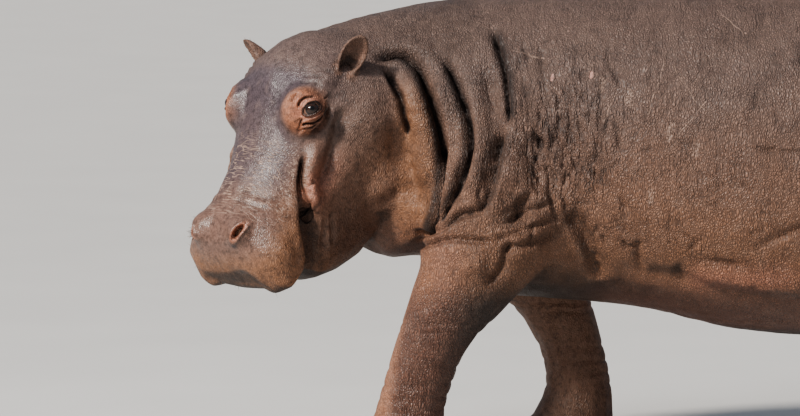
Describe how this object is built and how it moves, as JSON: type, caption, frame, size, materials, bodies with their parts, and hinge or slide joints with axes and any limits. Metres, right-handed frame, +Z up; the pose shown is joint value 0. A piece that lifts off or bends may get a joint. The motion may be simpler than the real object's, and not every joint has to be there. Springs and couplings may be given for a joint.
{
  "type": "hippopotamus model",
  "caption": "Life-size hippopotamus standing in mid-stride on flat soles, its broad lowered head turned to its left and its mouth closed.",
  "frame": {"origin": "the middle of the animal's footprint, on the floor: the bottom centre of the bounding box", "axes": "-Y is the way the animal walks, +X is its left side and +Z is up; the soles are at Z = 0"},
  "size_m": [1.0144, 3.1628, 1.4572],
  "materials": {
    "hide": "bare, finely wrinkled, slightly damp hide",
    "eye": "wet and glossy",
    "hoof": "worn matt horn"
  },
  "bodies": {
    "root": {"head": "hide", "lower_jaw": "hide", "neck": "hide", "trunk": "hide", "tail": "hide", "leg_front_left": "hide", "foot_front_left": "hide", "leg_front_right": "hide", "foot_front_right": "hide", "leg_hind_left": "hide", "foot_hind_left": "hide", "leg_hind_right": "hide", "foot_hind_right": "hide", "ear_left": "hide", "ear_right": "hide", "eye_left": "eye", "eye_right": "eye", "hoof_front_left_1": "hoof", "hoof_front_left_2": "hoof", "hoof_front_left_3": "hoof", "hoof_front_left_4": "hoof", "hoof_front_right_1": "hoof", "hoof_front_right_2": "hoof", "hoof_front_right_3": "hoof", "hoof_front_right_4": "hoof", "hoof_hind_left_1": "hoof", "hoof_hind_left_2": "hoof", "hoof_hind_left_3": "hoof", "hoof_hind_left_4": "hoof", "hoof_hind_right_1": "hoof", "hoof_hind_right_2": "hoof", "hoof_hind_right_3": "hoof", "hoof_hind_right_4": "hoof"}
  },
  "joints": []
}
